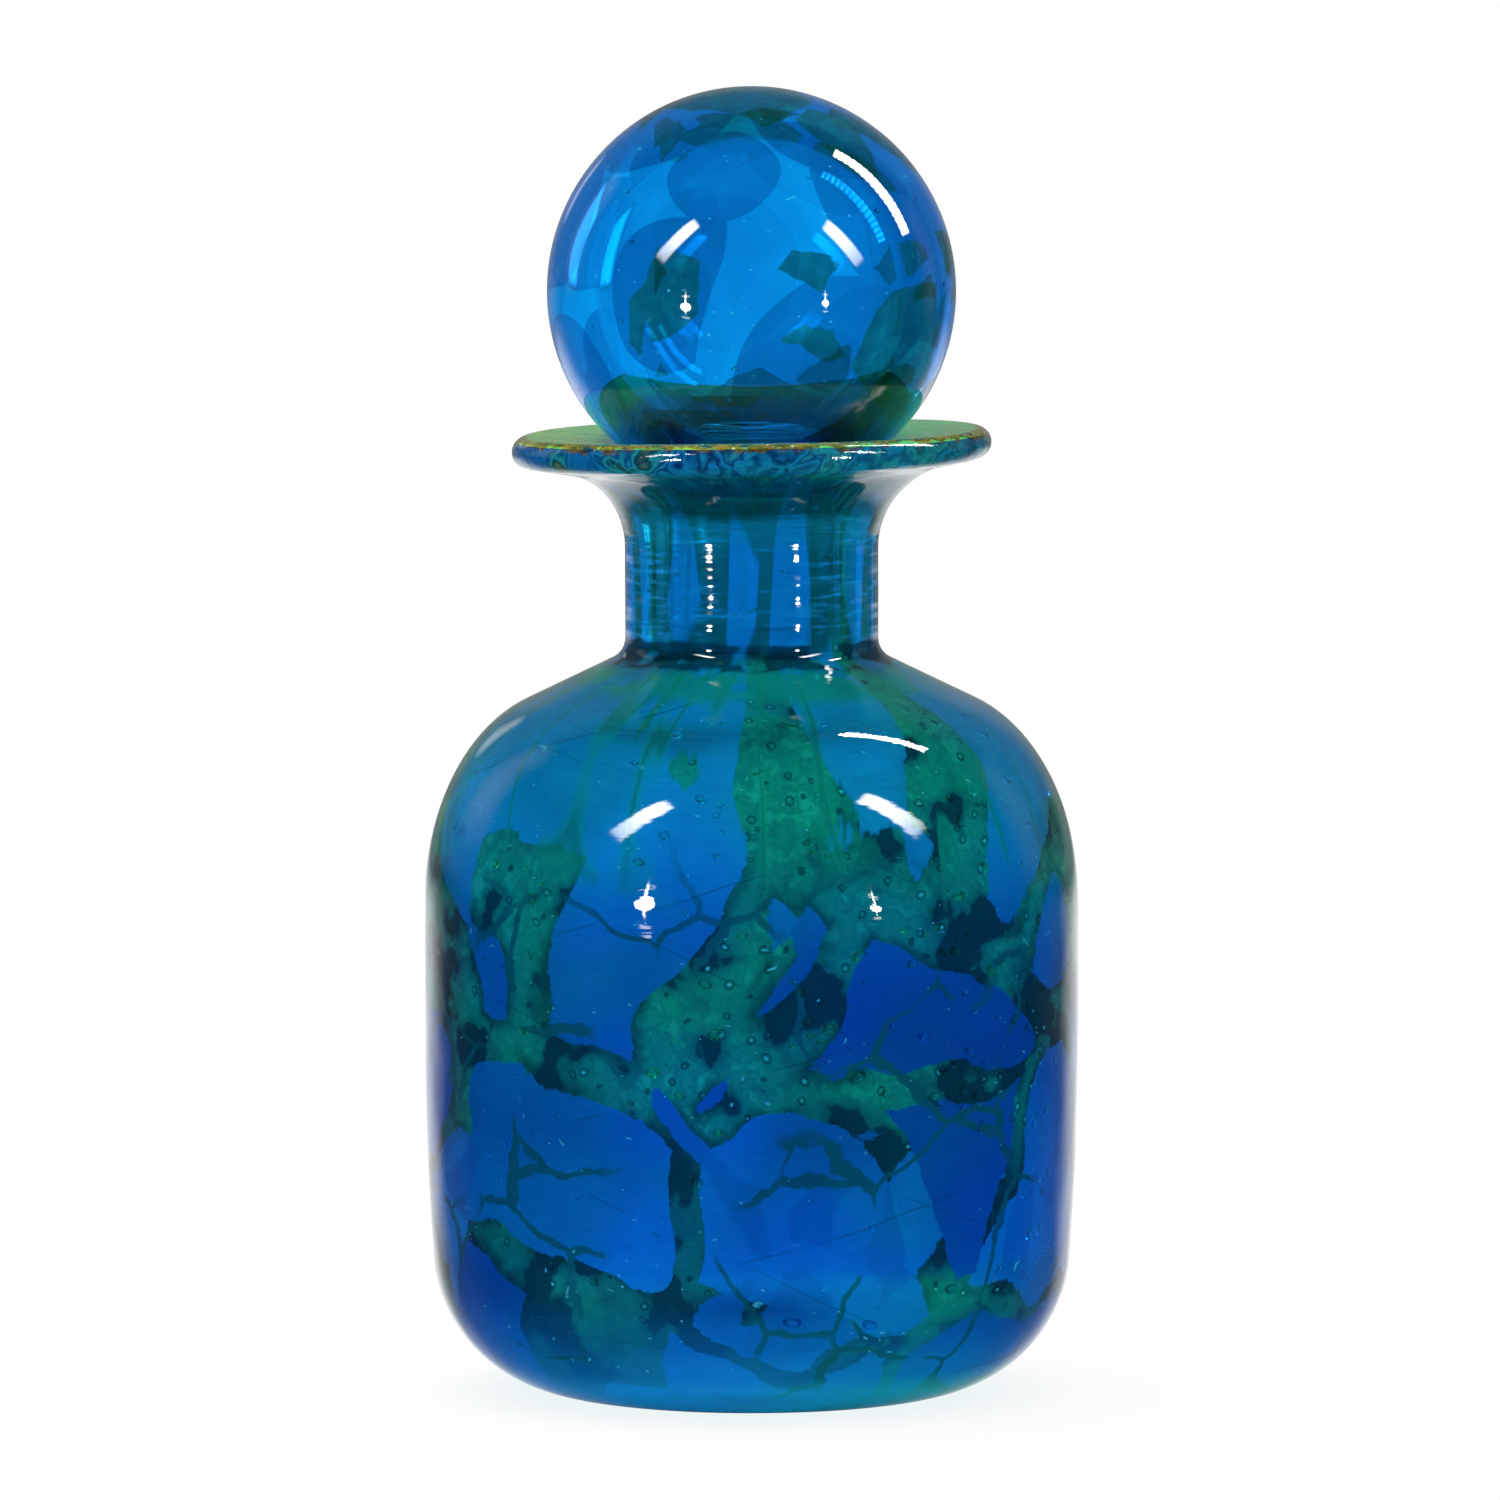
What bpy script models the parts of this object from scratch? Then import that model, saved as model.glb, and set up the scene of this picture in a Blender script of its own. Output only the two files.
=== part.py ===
"""Hand-blown glass bottle with a flared mouth and a hollow ball stopper.

Metres, +Z up. The origin is the centre of the flat foot, and +Z is the axis that
the bottle and its stopper are turned about. Each gather of glass is a solid of its
own. In the real bottle they are melted together; here a thin seam parts them.
"""

import math

import bpy

# Seams and fits
SEAM = 0.0003
SEAT_GAP = 0.0003
STEM_CLEARANCE = 0.0004
MERGE_DISTANCE = 0.00001

# Body of the bottle, outside
BODY_RADIUS = 0.0407
BELLY_HEIGHT = 0.0430
FLANK_LENGTH = 0.0186
FLANK_ARC_RADIUS = 0.3400
FOOT_CORNER_RADIUS = 0.0182
SHOULDER_WIDTH = 0.0184
SHOULDER_RISE = 0.0262
SHOULDER_SWEEP = math.radians(71.2)
NECK_RADIUS = 0.01575
NECK_FILLET_RADIUS = 0.0028
NECK_LENGTH = 0.0113

# Thickness of the outer gather at the flank, crown of the shoulder, neck and base
CASING_FLANK = 0.0010
CASING_CROWN = 0.0018
CASING_NECK = 0.0026
CASING_BASE = 0.0030

# Thickness of the inner gather at the same four places
LINING_FLANK = 0.0008
LINING_CROWN = 0.0015
LINING_NECK = 0.0021
LINING_BASE = 0.0022

# Flared lip
FLARE_RADIUS = 0.0100
LIP_SKIRT = 0.0025
LIP_THICKNESS = 0.0037
LIP_LIFT = 0.0006
RIM_RADIUS = 0.0298
FUNNEL_RADIUS = 0.0120
DISH_DROP = 0.0006

# Ground hollow under the foot, with the scar of the iron that held the bottle
KICK_RADIUS = 0.0095
KICK_SLOPE = 0.0014
KICK_DEPTH = 0.0012
PONTIL_RADIUS = 0.0066
PONTIL_BEVEL = 0.0004
PONTIL_THICKNESS = 0.0005

# Ball stopper
BALL_RADIUS = 0.0254
BALL_CASING = 0.0007
BALL_LINING = 0.0006
STEM_LENGTH = 0.0190
STEM_WALL = 0.0030
STEM_TAPER = 0.0003
STEM_END_ROUNDING = 0.0010

# Fineness of the turned surfaces
TURNS = 40
CORNER_STEPS = 6
FLANK_STEPS = 2
SHOULDER_STEPS = 7
FILLET_STEPS = 3
FLARE_STEPS = 7
LIP_STEPS = 8
BALL_STEPS = 14
ROUNDING_STEPS = 2
SHARP_ANGLE = math.radians(40)
FULL_TURN = math.radians(360)
HALF_TURN = math.radians(180)
QUARTER_TURN = math.radians(90)

# Depth of a surface under the outside of the bottle: flank, crown, neck, base
OUTSIDE = (0.0, 0.0, 0.0, 0.0)
CASING = (CASING_FLANK, CASING_CROWN, CASING_NECK, CASING_BASE)
LINING = (LINING_FLANK, LINING_CROWN, LINING_NECK, LINING_BASE)
CASING_INSIDE = CASING
LINING_OUTSIDE = tuple(depth + SEAM for depth in CASING)
LINING_INSIDE = tuple(depth + wall for depth, wall in zip(LINING_OUTSIDE, LINING))
BORE_RADIUS = NECK_RADIUS - LINING_INSIDE[2]


def arc(centre, radii, start, end, steps):
    """Points on an elliptical arc from one angle to another, both ends included."""
    angles = [start + (end - start) * step / steps for step in range(steps + 1)]
    return [(centre[0] + radii[0] * math.cos(a), centre[1] + radii[1] * math.sin(a))
            for a in angles]


def round_arc(centre, radius, start, end, steps):
    """Points on a circular arc."""
    return arc(centre, (radius, radius), start, end, steps)


def neck_foot_height(neck_radius, fillet_radius, shoulder_end, slope):
    """Height at which a fillet that meets the shoulder's cone turns into the neck."""
    lean = QUARTER_TURN - math.atan(slope)
    touch_x = neck_radius + fillet_radius * (1 - math.cos(lean))
    touch_z = shoulder_end[1] + (shoulder_end[0] - touch_x) * slope
    return touch_z + fillet_radius * math.sin(lean), lean


def body_outline(depths):
    """Half section of the body from the foot's axis up to the straight neck."""
    flank, crown, neck, base = depths
    radius = BODY_RADIUS - flank
    corner = FOOT_CORNER_RADIUS - flank
    flank_arc = FLANK_ARC_RADIUS - flank
    corner_height = base + corner
    tuck = math.asin((BELLY_HEIGHT - corner_height) / (flank_arc - corner))
    corner_x = radius - flank_arc + (flank_arc - corner) * math.cos(tuck)
    points = [(0.0, base)]
    points += round_arc((corner_x, corner_height), corner, -QUARTER_TURN, -tuck, CORNER_STEPS)
    points += round_arc((radius - flank_arc, BELLY_HEIGHT), flank_arc, -tuck, 0.0, FLANK_STEPS)[1:]
    shoulder_width = SHOULDER_WIDTH - flank
    shoulder_rise = SHOULDER_RISE - crown
    shoulder_centre = (radius - shoulder_width, BELLY_HEIGHT + FLANK_LENGTH)
    points += arc(shoulder_centre, (shoulder_width, shoulder_rise), 0.0, SHOULDER_SWEEP, SHOULDER_STEPS)
    slope = shoulder_rise / (shoulder_width * math.tan(SHOULDER_SWEEP))
    neck_radius = NECK_RADIUS - neck
    fillet = NECK_FILLET_RADIUS + neck
    height, lean = neck_foot_height(neck_radius, fillet, points[-1], slope)
    points += round_arc((neck_radius + fillet, height), fillet, HALF_TURN + lean, HALF_TURN, FILLET_STEPS)
    return points


FLARE_HEIGHT = body_outline(OUTSIDE)[-1][1] + NECK_LENGTH
NECK_SEAM_HEIGHT = FLARE_HEIGHT - LIP_SKIRT
LIP_HALF = LIP_THICKNESS / 2
LIP_HEIGHT = FLARE_HEIGHT + FLARE_RADIUS + LIP_LIFT + LIP_HALF
FUNNEL_HEIGHT = LIP_HEIGHT + LIP_HALF - DISH_DROP - FUNNEL_RADIUS
SEAT_REACH = BALL_RADIUS + FUNNEL_RADIUS + SEAT_GAP
BALL_HEIGHT = FUNNEL_HEIGHT + math.sqrt(SEAT_REACH ** 2 - (BORE_RADIUS + FUNNEL_RADIUS) ** 2)
STEM_RADIUS = BORE_RADIUS - STEM_CLEARANCE
STEM_HOLE_RADIUS = STEM_RADIUS + SEAM
LINING_BALL_RADIUS = BALL_RADIUS - BALL_CASING - SEAM
HOLLOW_RADIUS = LINING_BALL_RADIUS - BALL_LINING


def layer_outline(outer_depths, inner_depths, foot):
    """Half section of a gather: up its inside, over its top and down its outside."""
    inside = body_outline(inner_depths)
    outside = body_outline(outer_depths)[1:]
    top = NECK_SEAM_HEIGHT - SEAM
    over = [(inside[-1][0], top), (outside[-1][0], top)]
    return inside + over + outside[::-1] + foot


def lip_outline():
    """Closed half section of the flared lip, down its outside and up through the bore."""
    flare_centre = (NECK_RADIUS + FLARE_RADIUS, FLARE_HEIGHT)
    lip_centre = (RIM_RADIUS - LIP_HALF, LIP_HEIGHT)
    funnel_centre = (BORE_RADIUS + FUNNEL_RADIUS, FUNNEL_HEIGHT)
    reach = (lip_centre[0] - flare_centre[0], lip_centre[1] - flare_centre[1])
    under = math.atan2(reach[1], reach[0])
    under += math.acos((FLARE_RADIUS + LIP_HALF) / math.hypot(*reach))
    reach = (lip_centre[0] - funnel_centre[0], lip_centre[1] - funnel_centre[1])
    over = math.atan2(reach[1], reach[0])
    over += math.acos((FUNNEL_RADIUS - LIP_HALF) / math.hypot(*reach))
    points = round_arc(funnel_centre, FUNNEL_RADIUS, HALF_TURN, over, FLARE_STEPS)
    points += round_arc(lip_centre, LIP_HALF, over, under - HALF_TURN, LIP_STEPS)
    points += round_arc(flare_centre, FLARE_RADIUS, under, HALF_TURN, FLARE_STEPS)
    points += [(NECK_RADIUS, NECK_SEAM_HEIGHT), (BORE_RADIUS, NECK_SEAM_HEIGHT)]
    return points


def ball_outline(outer_radius, inner_radius):
    """Half section of a hollow ball with a round hole under it for the stem."""
    outer_end = math.acos(STEM_HOLE_RADIUS / outer_radius)
    inner_end = math.acos(STEM_HOLE_RADIUS / inner_radius)
    outside = round_arc((0.0, 0.0), outer_radius, QUARTER_TURN, -outer_end, BALL_STEPS)
    inside = round_arc((0.0, 0.0), inner_radius, -inner_end, QUARTER_TURN, BALL_STEPS)
    return [(0.0, outer_radius)] + outside[1:] + inside[:-1] + [(0.0, inner_radius)]


def stem_outline():
    """Closed half section of the ground stem, measured from the ball's centre."""
    top = -math.sqrt(HOLLOW_RADIUS ** 2 - STEM_HOLE_RADIUS ** 2)
    bottom = -BALL_RADIUS - STEM_LENGTH
    inner = STEM_RADIUS - STEM_WALL
    rounding = STEM_END_ROUNDING
    outer_low = STEM_RADIUS - STEM_TAPER
    points = [(STEM_RADIUS, top)]
    points += round_arc((outer_low - rounding, bottom + rounding), rounding,
                        0.0, -QUARTER_TURN, ROUNDING_STEPS)
    points += round_arc((inner + rounding, bottom + rounding), rounding,
                        -QUARTER_TURN, -HALF_TURN, ROUNDING_STEPS)
    points += [(inner, top)]
    return points


def pontil_outline():
    """Half section of the small bevelled scar in the hollow under the foot."""
    top = KICK_DEPTH - SEAM
    bottom = top - PONTIL_THICKNESS
    return [(0.0, top), (PONTIL_RADIUS - PONTIL_BEVEL, top), (PONTIL_RADIUS, top - PONTIL_BEVEL),
            (PONTIL_RADIUS, bottom), (0.0, bottom)]


def kick_outline():
    """The hollow under the foot, from the flat ring inwards to the axis."""
    return [(KICK_RADIUS, 0.0), (KICK_RADIUS - KICK_SLOPE, KICK_DEPTH), (0.0, KICK_DEPTH)]


def glass(name, colour, roughness):
    """A plain glass material of one colour."""
    material = bpy.data.materials.new(name)
    material.use_nodes = True
    shader = material.node_tree.nodes["Principled BSDF"]
    shader.inputs["Base Color"].default_value = (*colour, 1.0)
    shader.inputs["Roughness"].default_value = roughness
    shader.inputs["Metallic"].default_value = 0.0
    shader.inputs["Transmission Weight"].default_value = 1.0
    material.diffuse_color = (*colour, 1.0)
    return material


def turn(name, outline, material, collection, parent, closed=False):
    """Turn a half section about +Z into a smooth solid that hangs on its parent."""
    edges = [(i, i + 1) for i in range(len(outline) - 1)]
    if closed:
        edges.append((len(outline) - 1, 0))
    mesh = bpy.data.meshes.new(name)
    mesh.from_pydata([(x, 0.0, z) for x, z in outline], edges, [])
    piece = bpy.data.objects.new(name, mesh)
    collection.objects.link(piece)
    screw = piece.modifiers.new("turn", "SCREW")
    screw.axis = "Z"
    screw.angle = FULL_TURN
    screw.steps = TURNS
    screw.render_steps = TURNS
    screw.use_merge_vertices = True
    screw.merge_threshold = MERGE_DISTANCE
    graph = bpy.context.evaluated_depsgraph_get()
    turned = bpy.data.meshes.new_from_object(piece.evaluated_get(graph))
    piece.modifiers.clear()
    piece.data = turned
    bpy.data.meshes.remove(mesh)
    turned.name = name
    turned.shade_smooth()
    turned.set_sharp_from_angle(angle=SHARP_ANGLE)
    turned.materials.clear()
    turned.materials.append(material)
    piece.parent = parent
    return piece


def axis_empty(name, height, collection):
    """An empty on the shared axis that a group of pieces hangs on."""
    empty = bpy.data.objects.new(name, None)
    empty.empty_display_size = NECK_RADIUS
    empty.location = (0.0, 0.0, height)
    collection.objects.link(empty)
    return empty


def build_vessel(collection):
    """The bottle: outer gather, inner gather, flared lip and the scar under its foot."""
    vessel = axis_empty("vessel_axis", 0.0, collection)
    casing = layer_outline(OUTSIDE, CASING_INSIDE, kick_outline())
    lining = layer_outline(LINING_OUTSIDE, LINING_INSIDE, [(0.0, LINING_OUTSIDE[3])])
    turn("vessel_casing", casing, glass("blue_glass", (0.01, 0.20, 0.52), 0.02), collection, vessel)
    turn("vessel_lining", lining, glass("green_glass", (0.03, 0.33, 0.24), 0.02), collection, vessel)
    turn("flared_lip", lip_outline(), glass("lime_glass", (0.28, 0.45, 0.13), 0.02),
         collection, vessel, closed=True)
    turn("pontil_mark", pontil_outline(), glass("scar_glass", (0.01, 0.15, 0.22), 0.35),
         collection, vessel)


def build_stopper(collection):
    """The stopper: a hollow ball of two gathers on a ground stem, open at its end."""
    stopper = axis_empty("stopper_axis", BALL_HEIGHT, collection)
    casing = ball_outline(BALL_RADIUS, BALL_RADIUS - BALL_CASING)
    lining = ball_outline(LINING_BALL_RADIUS, HOLLOW_RADIUS)
    turn("stopper_casing", casing, glass("azure_glass", (0.01, 0.28, 0.62), 0.02), collection, stopper)
    turn("stopper_lining", lining, glass("sea_green_glass", (0.02, 0.30, 0.28), 0.02),
         collection, stopper)
    turn("stopper_stem", stem_outline(), glass("ground_glass", (0.03, 0.30, 0.36), 0.30),
         collection, stopper, closed=True)


def main():
    """Clear the scene and build the bottle in a collection of its own."""
    for old in list(bpy.data.objects):
        bpy.data.objects.remove(old, do_unlink=True)
    collection = bpy.data.collections.new("stoppered_bottle")
    bpy.context.scene.collection.children.link(collection)
    build_vessel(collection)
    build_stopper(collection)
    bpy.context.view_layer.update()


main()
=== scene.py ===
"""Looks of a hand-blown glass bottle with a flared mouth and a hollow ball stopper.

Metres, +Z up. The origin is the centre of the flat foot. The bottle and its stopper
are turned about +Z, and the photograph is taken from -Y.
"""
import logging
import math
import random
from collections.abc import Callable
from dataclasses import dataclass, field
from enum import Enum
from functools import cached_property, reduce

import bpy
from mathutils import Matrix, Vector
from mathutils.kdtree import KDTree


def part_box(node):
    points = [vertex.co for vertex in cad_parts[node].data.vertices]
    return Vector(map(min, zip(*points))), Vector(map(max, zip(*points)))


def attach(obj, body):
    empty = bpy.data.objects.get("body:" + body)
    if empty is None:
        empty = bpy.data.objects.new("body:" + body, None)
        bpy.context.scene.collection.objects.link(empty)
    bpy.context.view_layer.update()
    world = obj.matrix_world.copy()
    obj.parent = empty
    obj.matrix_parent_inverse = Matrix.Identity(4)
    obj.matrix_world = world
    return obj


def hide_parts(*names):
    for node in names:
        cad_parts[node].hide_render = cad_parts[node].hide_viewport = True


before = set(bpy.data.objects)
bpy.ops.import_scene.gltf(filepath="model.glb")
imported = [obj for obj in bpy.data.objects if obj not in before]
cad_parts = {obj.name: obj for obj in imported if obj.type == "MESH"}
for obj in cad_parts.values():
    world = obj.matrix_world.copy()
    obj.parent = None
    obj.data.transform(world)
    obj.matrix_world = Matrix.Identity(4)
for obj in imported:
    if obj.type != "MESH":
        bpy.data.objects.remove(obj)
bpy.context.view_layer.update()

LOG = logging.getLogger("bottle")
Point = tuple[float, float]
Triple = tuple[float, float, float]
Node = bpy.types.Node
Socket = bpy.types.NodeSocket
Material = bpy.types.Material
Piece = bpy.types.Object
QUARTER, HALF, FULL = math.pi / 2, math.pi, 2 * math.pi
MM = 0.001
SAME_POINT = 0.02 * MM
WELD = 0.004 * MM
SWELL = 20 * MM
WHITE = (1.0, 1.0, 1.0)


class Region(Enum):
    """The surfaces of a blown wall, in the order of their material slots."""

    SKIN = 0
    HOLLOW = 1
    GROUND = 2
    MOUTH = 2


class Ray(Enum):
    """The kinds of ray that the floor and the room answer apart."""

    CAMERA = "Is Camera Ray"
    DIFFUSE = "Is Diffuse Ray"
    REFLECTION = "Is Reflection Ray"
    TRANSMISSION = "Is Transmission Ray"


class Shine(Enum):
    """The ways in which a lamp shines."""

    SHEET = "evenly"
    STRIP = "less towards its foot"
    TUBE = "in a row of dots"
    STAR = "from a bulb with spikes"


# ---- shader bench


def sums(operation: str, reflected: bool = False) -> Callable:
    """Make an operator of Value.

    Args:
        operation: The Math node's operation.
        reflected: Whether the other number comes first.

    Returns:
        The operator.
    """
    def operator(this: "Value", other: "Value | float") -> "Value":
        """Add the Math node."""
        return this.bench.sum(operation, *((other, this) if reflected else (this, other)))

    return operator


class Value:
    """A number on a node's socket, with the usual sums on it."""

    __add__ = __radd__ = sums("ADD")
    __mul__ = __rmul__ = sums("MULTIPLY")
    __sub__, __rsub__ = sums("SUBTRACT"), sums("SUBTRACT", True)
    __truediv__, __rtruediv__ = sums("DIVIDE"), sums("DIVIDE", True)
    __pow__ = sums("POWER")
    bigger = sums("MAXIMUM")
    swung = sums("PINGPONG")

    def __init__(self, bench: "Bench", socket: Socket) -> None:
        """Keep the socket and the bench it lies on."""
        self.bench, self.socket = bench, socket

    def __abs__(self) -> "Value":
        """Size without its sign."""
        return self.bench.sum("ABSOLUTE", self)

    def fade(self, low: "Value | float", high: "Value | float") -> "Value":
        """Zero at low, one at high and a smooth step between; low may be the larger."""
        ends = {"Value": self, "From Min": low, "From Max": high, "To Min": 0.0, "To Max": 1.0}
        return Value(self.bench, self.bench.node("MapRange", {"interpolation_type": "SMOOTHSTEP"}, ends).outputs[0])


Number = Value | float


class Bench:
    """The node bench of one material or of the world."""

    def __init__(self, tree: bpy.types.NodeTree) -> None:
        """Clear the tree."""
        self.tree = tree
        tree.nodes.clear()

    def node(self, kind: str, settings: dict, values: dict) -> Node:
        """Add a node.

        Args:
            kind: The node's type.
            settings: Its properties, or for a ramp its stops under the key "stops".
            values: Its sockets' names or places, with numbers, colours or links.

        Returns:
            The node.
        """
        node = self.tree.nodes.new("ShaderNode" + kind)
        for name, setting in settings.items():
            if name != "stops":
                setattr(node, name, setting)
                continue
            elements = node.color_ramp.elements
            while len(elements) < len(setting):
                elements.new(1.0)
            for element, (place, colour) in zip(elements, setting):
                element.position, element.color = place, (*colour, 1.0)
        for name, value in values.items():
            socket = node.inputs[name]
            source = value.socket if isinstance(value, Value) else value
            if isinstance(source, Socket):
                self.tree.links.new(source, socket)
            else:
                socket.default_value = (*source, 1.0) if socket.type == "RGBA" else source
        return node

    def sum(self, operation: str, *numbers: Number) -> Value:
        """Add a Math node on numbers."""
        return Value(self, self.node("Math", {"operation": operation}, dict(enumerate(numbers))).outputs[0])

    def texture_place(self, kind: str = "Object") -> Socket:
        """The place on a surface, as the textures read it."""
        return self.node("TexCoord", {}, {}).outputs[kind]

    def stretch(self, vector: object, by: Number) -> Socket:
        """A vector times a number."""
        return self.node("VectorMath", {"operation": "SCALE"}, {0: vector, "Scale": by}).outputs[0]

    def join(self, operation: str, first: object, second: object) -> Socket:
        """Two vectors through a Vector Math node."""
        return self.node("VectorMath", {"operation": operation}, {0: first, 1: second}).outputs[0]

    def split(self, vector: Socket) -> tuple[Value, Value, Value]:
        """The three parts of a vector."""
        outputs = self.node("SeparateXYZ", {}, {0: vector}).outputs
        return Value(self, outputs[0]), Value(self, outputs[1]), Value(self, outputs[2])

    def combine(self, x: object, y: object, z: object) -> Socket:
        """A vector from three numbers."""
        return self.node("CombineXYZ", {}, {0: x, 1: y, 2: z}).outputs[0]

    def mix(self, share: Number, first: object, second: object) -> Socket:
        """Mix two colours, by the share of the second."""
        return self.node("Mix", {"data_type": "RGBA"}, {0: share, 6: first, 7: second}).outputs[2]

    def coats(self, paint: object, *coats: tuple[Number, object]) -> Socket:
        """Lay coats over a colour, each given by its share and its own colour."""
        return reduce(lambda under, coat: self.mix(coat[0], under, coat[1]), coats, paint)

    def ramp(self, share: Value, *stops: tuple[float, Triple]) -> Socket:
        """A colour ramp."""
        return self.node("ValToRGB", {"stops": stops}, {0: share}).outputs[0]

    def cloud(self, vector: object, scale: float, detail: float = 2.0, swirl: float = 0.0) -> Node:
        """A noise; output 0 is its number and output 1 its colour."""
        sizes = {"Scale": scale, "Detail": detail, "Roughness": 0.55, "Distortion": swirl}
        return self.node("TexNoise", {}, {"Vector": vector} | sizes)

    def haze(self, vector: object, scale: float, detail: float = 2.0, swirl: float = 0.0) -> Value:
        """The number of a noise."""
        return Value(self, self.cloud(vector, scale, detail, swirl).outputs[0])

    def drift(self, vector: object, scale: float, reach: float, detail: float = 1.0) -> Socket:
        """A vector moved about by a noise, by up to about half the reach each way."""
        centred = self.join("SUBTRACT", self.cloud(vector, scale, detail).outputs[1], (0.5, 0.5, 0.5))
        return self.join("ADD", vector, self.stretch(centred, reach))

    def cells(self, vector: object, size: float) -> tuple[Value, tuple[Value, Value, Value]]:
        """Cells of a size: how far off their middle is, and three numbers that each has by chance."""
        outputs = self.node("TexVoronoi", {"feature": "F1"}, {"Vector": vector, "Scale": 1.0 / size}).outputs
        return Value(self, outputs[0]), self.split(outputs["Color"])

    def seam(self, vector: object, size: float) -> Value:
        """How far off the seam between such cells is, in millimetres."""
        values = {"Vector": vector, "Scale": 1.0 / size}
        return Value(self, self.node("TexVoronoi", {"feature": "DISTANCE_TO_EDGE"}, values).outputs[0]) * size

    def bump(self, height: Value, depth: float) -> Socket:
        """A Bump node; depth is in metres for a height of one."""
        return self.node("Bump", {}, {"Strength": 1.0, "Distance": depth, "Height": height}).outputs[0]

    def glass(self, **values: object) -> Socket:
        """Clear smooth glass, apart from the values given, whose names have _ for a space."""
        values = {"Transmission_Weight": 1.0, "Roughness": 0.0, "IOR": 1.5} | values
        named = {name.replace("_", " "): value for name, value in values.items()}
        return self.node("BsdfPrincipled", {}, named).outputs[0]

    def blend(self, share: Number, first: Socket, second: Socket) -> Socket:
        """Two shaders, by the share of the second."""
        return self.node("MixShader", {}, {0: share, 1: first, 2: second}).outputs[0]

    def end(self, shader: Socket, kind: str = "OutputMaterial") -> None:
        """End in a shader."""
        self.node(kind, {}, {"Surface": shader})


class Finish(Bench):
    """The bench of a new material."""

    def __init__(self, name: str) -> None:
        """Make the material."""
        self.material = bpy.data.materials.new(name)
        self.material.use_nodes = True
        super().__init__(self.material.node_tree)


class Glass(Finish):
    """A finish of glass, known by its surface, with its own place in millimetres."""

    def __init__(self, name: str) -> None:
        """Make the material with its surface."""
        super().__init__(name)
        self.end(self.surface())

    def surface(self) -> Socket:
        """The surface's shader."""
        raise NotImplementedError

    @cached_property
    def place(self) -> Socket:
        """The place on the surface."""
        return self.stretch(self.texture_place(), 1000.0)

    @cached_property
    def parts(self) -> tuple[Value, Value, Value, Value]:
        """The three parts of the place, and its distance from the axis."""
        x, y, z = self.split(self.place)
        return x, y, z, (x * x + y * y) ** 0.5

    def drawn(self, across: float, up: float) -> Socket:
        """The place with its scale changed across and up."""
        return self.join("MULTIPLY", self.place, (across, across, up))

    def unrolled(self, radius: float, up: Value) -> Socket:
        """The place brought to one radius, with a height of its own."""
        x, y, _, reach = self.parts
        return self.combine(x / reach * radius, y / reach * radius, up)

    def shifted(self, by: Triple) -> Socket:
        """The place moved by a step."""
        return self.join("ADD", self.place, by)

    def bubbles_and_glints(self, paint: Socket) -> Socket:
        """Scatter tiny bubbles over a colour, each one lightened as a painted glint.

        Args:
            paint: The colour so far.

        Returns:
            The colour with its bubbles and their painted glints.
        """
        middle, chance = self.cells(self.drift(self.drawn(0.55, 1.0), 0.3, 4.0), 1.4)
        # Painted glints: tiny bubbles lightened to stand in for the light that they catch.
        bubble_glint = middle.fade(0.07 + chance[1] * 0.09, 0.03) * chance[0].fade(0.48, 0.5)
        return self.mix(bubble_glint * 0.9, paint, (0.45, 1.0, 1.0))

    def cracks(self, flow: Socket) -> Value:
        """Find the thin dark cracks through the shards.

        Args:
            flow: The shards' coordinates.

        Returns:
            Where they run.
        """
        spot = self.drift(self.drift(self.join("ADD", flow, (19.0, 43.0, 5.0)), 0.1, 5.0), 0.4, 1.7, 4.0)
        broad = self.haze(flow, 0.06)
        return (self.seam(spot, 15.0) - broad * 0.66).fade(0.1, -0.1) * broad.fade(0.48, 0.55)

    def hair_lines(self) -> Value:
        """Find the fine, nearly straight hair lines.

        Returns:
            Where they run.
        """
        x, _, z, _ = self.parts
        wander = self.haze(self.place, 0.04, 1.0) * 5.0
        lines = []
        for lean, pitch, shift in ((0.45, 17.0, 3.0), (-0.3, 23.0, 11.0)):
            along = (z + x * lean + wander + shift) / pitch
            lines.append(abs(self.sum("FRACT", along) - 0.5).fade(0.007, 0.002))
        return lines[0].bigger(lines[1]) * self.haze(self.place, 0.07, 1.0).fade(0.5, 0.58)

    def gilt(self, paint: Socket) -> Socket:
        """Lay the streaky gold and olive along the lip's edge, with painted glints on it.

        Args:
            paint: The colour so far.

        Returns:
            The colour with its gold edge.
        """
        x, _, z, reach = self.parts
        wander = self.haze(self.place, 0.45, 3.0) * 3.0
        share = reach.fade(27.6, 28.6) * (z - x * 0.02 + wander).fade(120.3, 120.9)
        gold = self.ramp(
            self.haze(self.drawn(0.3, 0.9), 1.0, 5.0, 0.6),
            (0.34, (0.01, 0.08, 0.12)), (0.43, (0.4, 0.26, 0.01)), (0.49, (0.03, 0.12, 0.03)),
            (0.54, (0.55, 0.38, 0.02)), (0.6, (0.05, 0.2, 0.05)), (0.66, (0.01, 0.12, 0.2)))
        # Painted glints: bright pale-gold sparkles scattered along the lip's edge.
        middle, chance = self.cells(self.place, 1.0)
        gold = self.mix(middle.fade(0.24, 0.14) * chance[0].fade(0.6, 0.62), gold, (1.0, 0.98, 0.6))
        return self.mix(share, paint, gold)


# ---- finishes


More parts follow.
